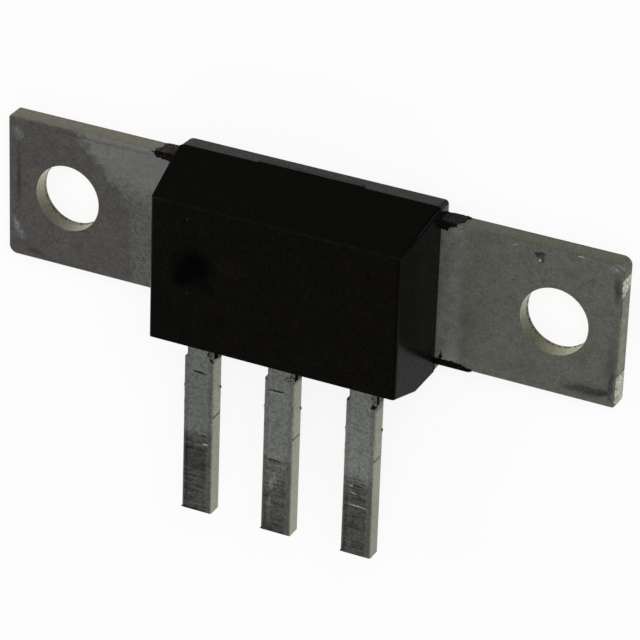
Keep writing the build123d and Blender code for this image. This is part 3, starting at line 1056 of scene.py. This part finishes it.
def along(stops, place):
    # straight lines between (place, value) stops
    for (low, first), (high, second) in zip(stops, stops[1:]):
        if place <= high:
            return first + (second - first) * max(place - low, 0) / (high - low)
    return stops[-1][1]


def ragged(x, y, seed):
    # noise from about -1 to 1, with fine teeth in it
    return noise.fractal(Vector((x, y, seed)), 0.6, 2.3, 4)


def addFlash(spot, material):
    side, edge = spot["side"], spot["edge"]
    seed = spot["front"] * 10
    topZ = plateHigh.z
    roll = plate["edgeRoll"]
    wallShare, bendShare = flash["wallShare"], flash["bendShare"]

    def reachAt(v):
        share = min(v / wallShare, 1)
        reach = spot["back"] + (spot["front"] - spot["back"]) * share
        return reach + flash["ragged"] * (0.2 + ragged(v * 6, 0, seed))

    def surface(lift, swell):
        def point(u, v):
            away = u * (flash["root"] + reachAt(v)) - flash["root"]
            inner = min(min(1 - u, 1 - v) * 8, 1)
            thick = lift + swell * inner * (0.4 + ragged(away * 6, v * 9, seed + 3))
            thick = max(thick, lift * 0.9)
            if v < wallShare:
                y = plateHigh.y + thick
                z = flash["backGap"] + (topZ - roll - flash["backGap"]) * v / wallShare
            elif v < bendShare:
                angle = (v - wallShare) / (bendShare - wallShare) * math.pi / 2
                y = plateHigh.y - roll + (roll + thick) * math.cos(angle)
                z = topZ - roll + (roll + thick) * math.sin(angle)
            else:
                depth = along(spot["depth"], away)
                depth += flash["ragged"] * 0.5 * (0.3 + ragged(away * 9, 2, seed + 5))
                share = (v - bendShare) / (1 - bendShare)
                y = plateHigh.y - roll - share * max(depth - roll, 0)
                z = topZ + thick
            return (side * (case["end"] + away), edge * y, z)
        return point

    outer = surface(flash["cover"], flash["swell"])
    inner = surface(-0.01, 0)
    columns, rows = flash["columns"], flash["rows"]
    addSlab(spot["name"], columns, rows, outer, inner, material)


def flashCrumbs():
    # loose grains along each lip, and the lumps that stand apart
    spread = random.Random(5)
    marks = []
    for spot in flash["spots"]:
        for grain in range(flash["grains"]):
            away = spread.uniform(0.05, spot["front"])
            depth = along(spot["depth"], away) + spread.uniform(-0.08, 0.05)
            size = spread.uniform(0.025, 0.060)
            x = spot["side"] * (case["end"] + away)
            y = spot["edge"] * (plateHigh.y - depth)
            marks.append((x, y, plateHigh.z + size * 0.5, size * 1.3, size, size * 0.7))
    for x, y, lift, halfX, halfY, halfZ in flash["lumps"]:
        marks.append((x, y, plateHigh.z + lift, halfX, halfY, halfZ))
    return marks


# Lead ends, trimmed bars and the places where the leads come out

exits = {
    "neckInset": 0.20,
    "shoulderY": -6.509,
    "caseY": -5.20,
    "frontShare": 0.3,        # share of a filler's columns on the front, before it turns back
    "columns": 30,
    "rows": 24,
    # x from the lead's middle, y, half width, half length
    "crumbs": (
        ((0.56, -6.06, 0.05, 0.09), (0.62, -5.92, 0.08, 0.05), (0.70, -6.10, 0.05, 0.07),
         (0.77, -6.38, 0.10, 0.11), (0.70, -6.30, 0.07, 0.05), (0.88, -6.52, 0.04, 0.06)),
        ((0.33, -6.36, 0.03, 0.03), (0.54, -6.36, 0.04, 0.03), (0.64, -6.14, 0.05, 0.04),
         (0.72, -5.98, 0.04, 0.06), (0.66, -6.34, 0.03, 0.03), (0.44, -6.20, 0.03, 0.02),
         (0.86, -6.08, 0.03, 0.05), (-0.84, -6.52, 0.05, 0.05)),
        ((0.70, -6.10, 0.05, 0.03), (0.83, -6.25, 0.03, 0.04),
         (0.78, -6.60, 0.13, 0.14), (0.64, -6.67, 0.08, 0.05), (0.93, -6.53, 0.06, 0.05),
         (0.74, -6.50, 0.08, 0.08), (-0.80, -6.46, 0.07, 0.06)),
    ),
}


def addFiller(index, middle, material):
    # epoxy that fills the right-hand recess of a neck, nearly flush with the lead
    seed = 3.7 * index
    left = middle + leads["halfWidth"] - exits["neckInset"] - 0.04
    right = middle + leads["halfWidth"]
    back, front = leadHigh.z - leads["thickness"], leadHigh.z
    lowY, highY = exits["shoulderY"] + 0.02, exits["caseY"]
    turn = exits["frontShare"]

    def outer(u, v):
        # u runs from the front face's inner edge round the corner and along the side to the back
        y = lowY + (highY - lowY) * v
        bump = 0.022 * ragged(u * 7, y * 6, seed)
        if u < turn:
            return (left + (right - left) * u / turn, y, front + 0.012 + bump)
        z = front - (front - back) * (u - turn) / (1 - turn)
        return (right + 0.010 + bump, y, z)

    def inner(u, v):
        y = lowY + (highY - lowY) * v
        z = front - 0.06 - (front - back - 0.06) * max(u - turn, 0) / (1 - turn)
        return (left - 0.02, y, z)

    name = "exitFiller" + str(index + 1)
    addSlab(name, exits["columns"], exits["rows"], outer, inner, material)


def exitCrumbs():
    marks = []
    for middle, crumbs in zip(leadMiddles, exits["crumbs"]):
        for x, y, halfX, halfY in crumbs:
            lift = min(halfX, halfY) * 0.5 + 0.02
            marks.append((middle + x, y, leadHigh.z + 0.02, halfX, halfY, lift))
    return marks


def leadBurrs(middle):
    # the cut end's lip, and the torn edges where the frame's bars were trimmed away
    left = middle - leads["halfWidth"]
    right = middle + leads["halfWidth"]
    trimLow, trimHigh = leads["trimmed"]
    tipY = leadLow.y + 0.055
    frontZ = leadHigh.z - 0.03
    backZ = leadHigh.z - 0.90
    paths = [
        [(left + 0.02, tipY, frontZ), (right - 0.02, tipY, frontZ)],
        [(right - 0.02, tipY, frontZ), (right - 0.01, tipY, backZ)],
    ]
    torn = ((right - 0.01, backZ), (right - 0.01, frontZ - 0.05), (left + 0.01, frontZ - 0.04))
    return paths + [[(x, trimHigh, z), (x, trimLow, z)] for x, z in torn]


def trimTicks():
    # small lumps of metal at the upper end of each trimmed stretch, and at the lip's corner
    marks = []
    half = leads["halfWidth"]
    high = leads["trimmed"][1]
    tip = leadLow.y + 0.08
    top = leadHigh.z
    for middle in leadMiddles:
        marks.append((middle + half, high - 0.08, top - 0.90, 0.06, 0.10, 0.05))
        marks.append((middle - half, high - 0.04, top - 0.10, 0.05, 0.08, 0.05))
        marks.append((middle - half + 0.06, tip, top + 0.02, 0.08, 0.05, 0.04))
    return marks


# What stamping leaves on the plate, and the broken runner on the case

burrs = {
    "gateLeft": -3.06,
    "gateRight": 3.38,
    "holeDepth": 0.16,        # height of the holes' rims over the plate's back
    "holeStep": 6,            # degrees between their points
    "edgeDepth": 0.035,       # and of the burrs along the plate's edges
    # spacing of the points, thickness and wander of each ragged ridge
    "lead": {"Spacing": 0.05, "Thickness": 0.026, "Wander": 0.06},
    "plate": {"Spacing": 0.08, "Thickness": 0.018, "Wander": 0.03},
    "hole": {"Spacing": 0.05, "Thickness": 0.042, "Wander": 0.22},
    "gate": {"Spacing": 0.06, "Thickness": 0.024, "Wander": 0.04},
}


def holeBurrs():
    # the torn rim where each punch came through
    turns = [math.radians(turn) for turn in range(0, 361, burrs["holeStep"])]
    radius = plate["holeRadius"] - 0.01
    low = burrs["holeDepth"]
    paths = []
    for side in (-1, 1):
        middle = side * plate["holeX"]
        paths.append([
            (middle + radius * math.cos(turn), radius * math.sin(turn), low) for turn in turns
        ])
    return paths


def plateBurrs():
    top = plateHigh.y
    low = burrs["edgeDepth"]
    paths = []
    for side in (-1, 1):
        far = side * (plateHigh.x - 0.6)
        near = side * (case["end"] + 1.2)
        paths.append([(near, top, low), (far, top, low)])
        paths.append([(near + side * 1.2, -top, low), (far, -top, low)])
    endX = plateHigh.x - low
    paths.append([(endX, top - 0.7, low), (endX, -top + 0.4, low)])
    return paths


def gateLip():
    y = case["top"] + 0.025
    left, right = burrs["gateLeft"], burrs["gateRight"]
    front = case["partingZ"] - 0.01
    back = front - 0.28
    return [
        [(left, y, front), (right, y, front)],
        [(left, y, front), (left, y, back)],
        [(right, y, front), (right, y, back)],
    ]


def makeDetail():
    ridges = ridgeTree()
    crumbs = crumbTree()
    skin = skinFinish()
    crumb = crumbFinish()
    metal = burrFinish()
    residue = residueFinish()
    for spot in flash["spots"]:
        addFlash(spot, skin)
    addCrumbs("flashCrumbs", flashCrumbs(), crumbs, 3.0, crumb)
    print("flash made")
    for index, middle in enumerate(leadMiddles):
        addFiller(index, middle, residue)
        name = "leadBurrs" + str(index + 1)
        seed = index * 5.0
        addRidges(name, leadBurrs(middle), ridges, seed, burrs["lead"], metal)
    addCrumbs("exitCrumbs", exitCrumbs(), crumbs, 11.0, crumb)
    addCrumbs("trimTicks", trimTicks(), crumbs, 17.0, metal)
    print("lead detail made")
    addRidges("plateBurrs", plateBurrs(), ridges, 23.0, burrs["plate"], metal)
    addRidges("holeBurrs", holeBurrs(), ridges, 26.0, burrs["hole"], metal)
    addRidges("gateLip", gateLip(), ridges, 29.0, burrs["gate"], skin)
    print("burrs made")


makeCamera()
makeWorld()
makeLamps()
makeFloor()
finishNodes()
makeDetail()
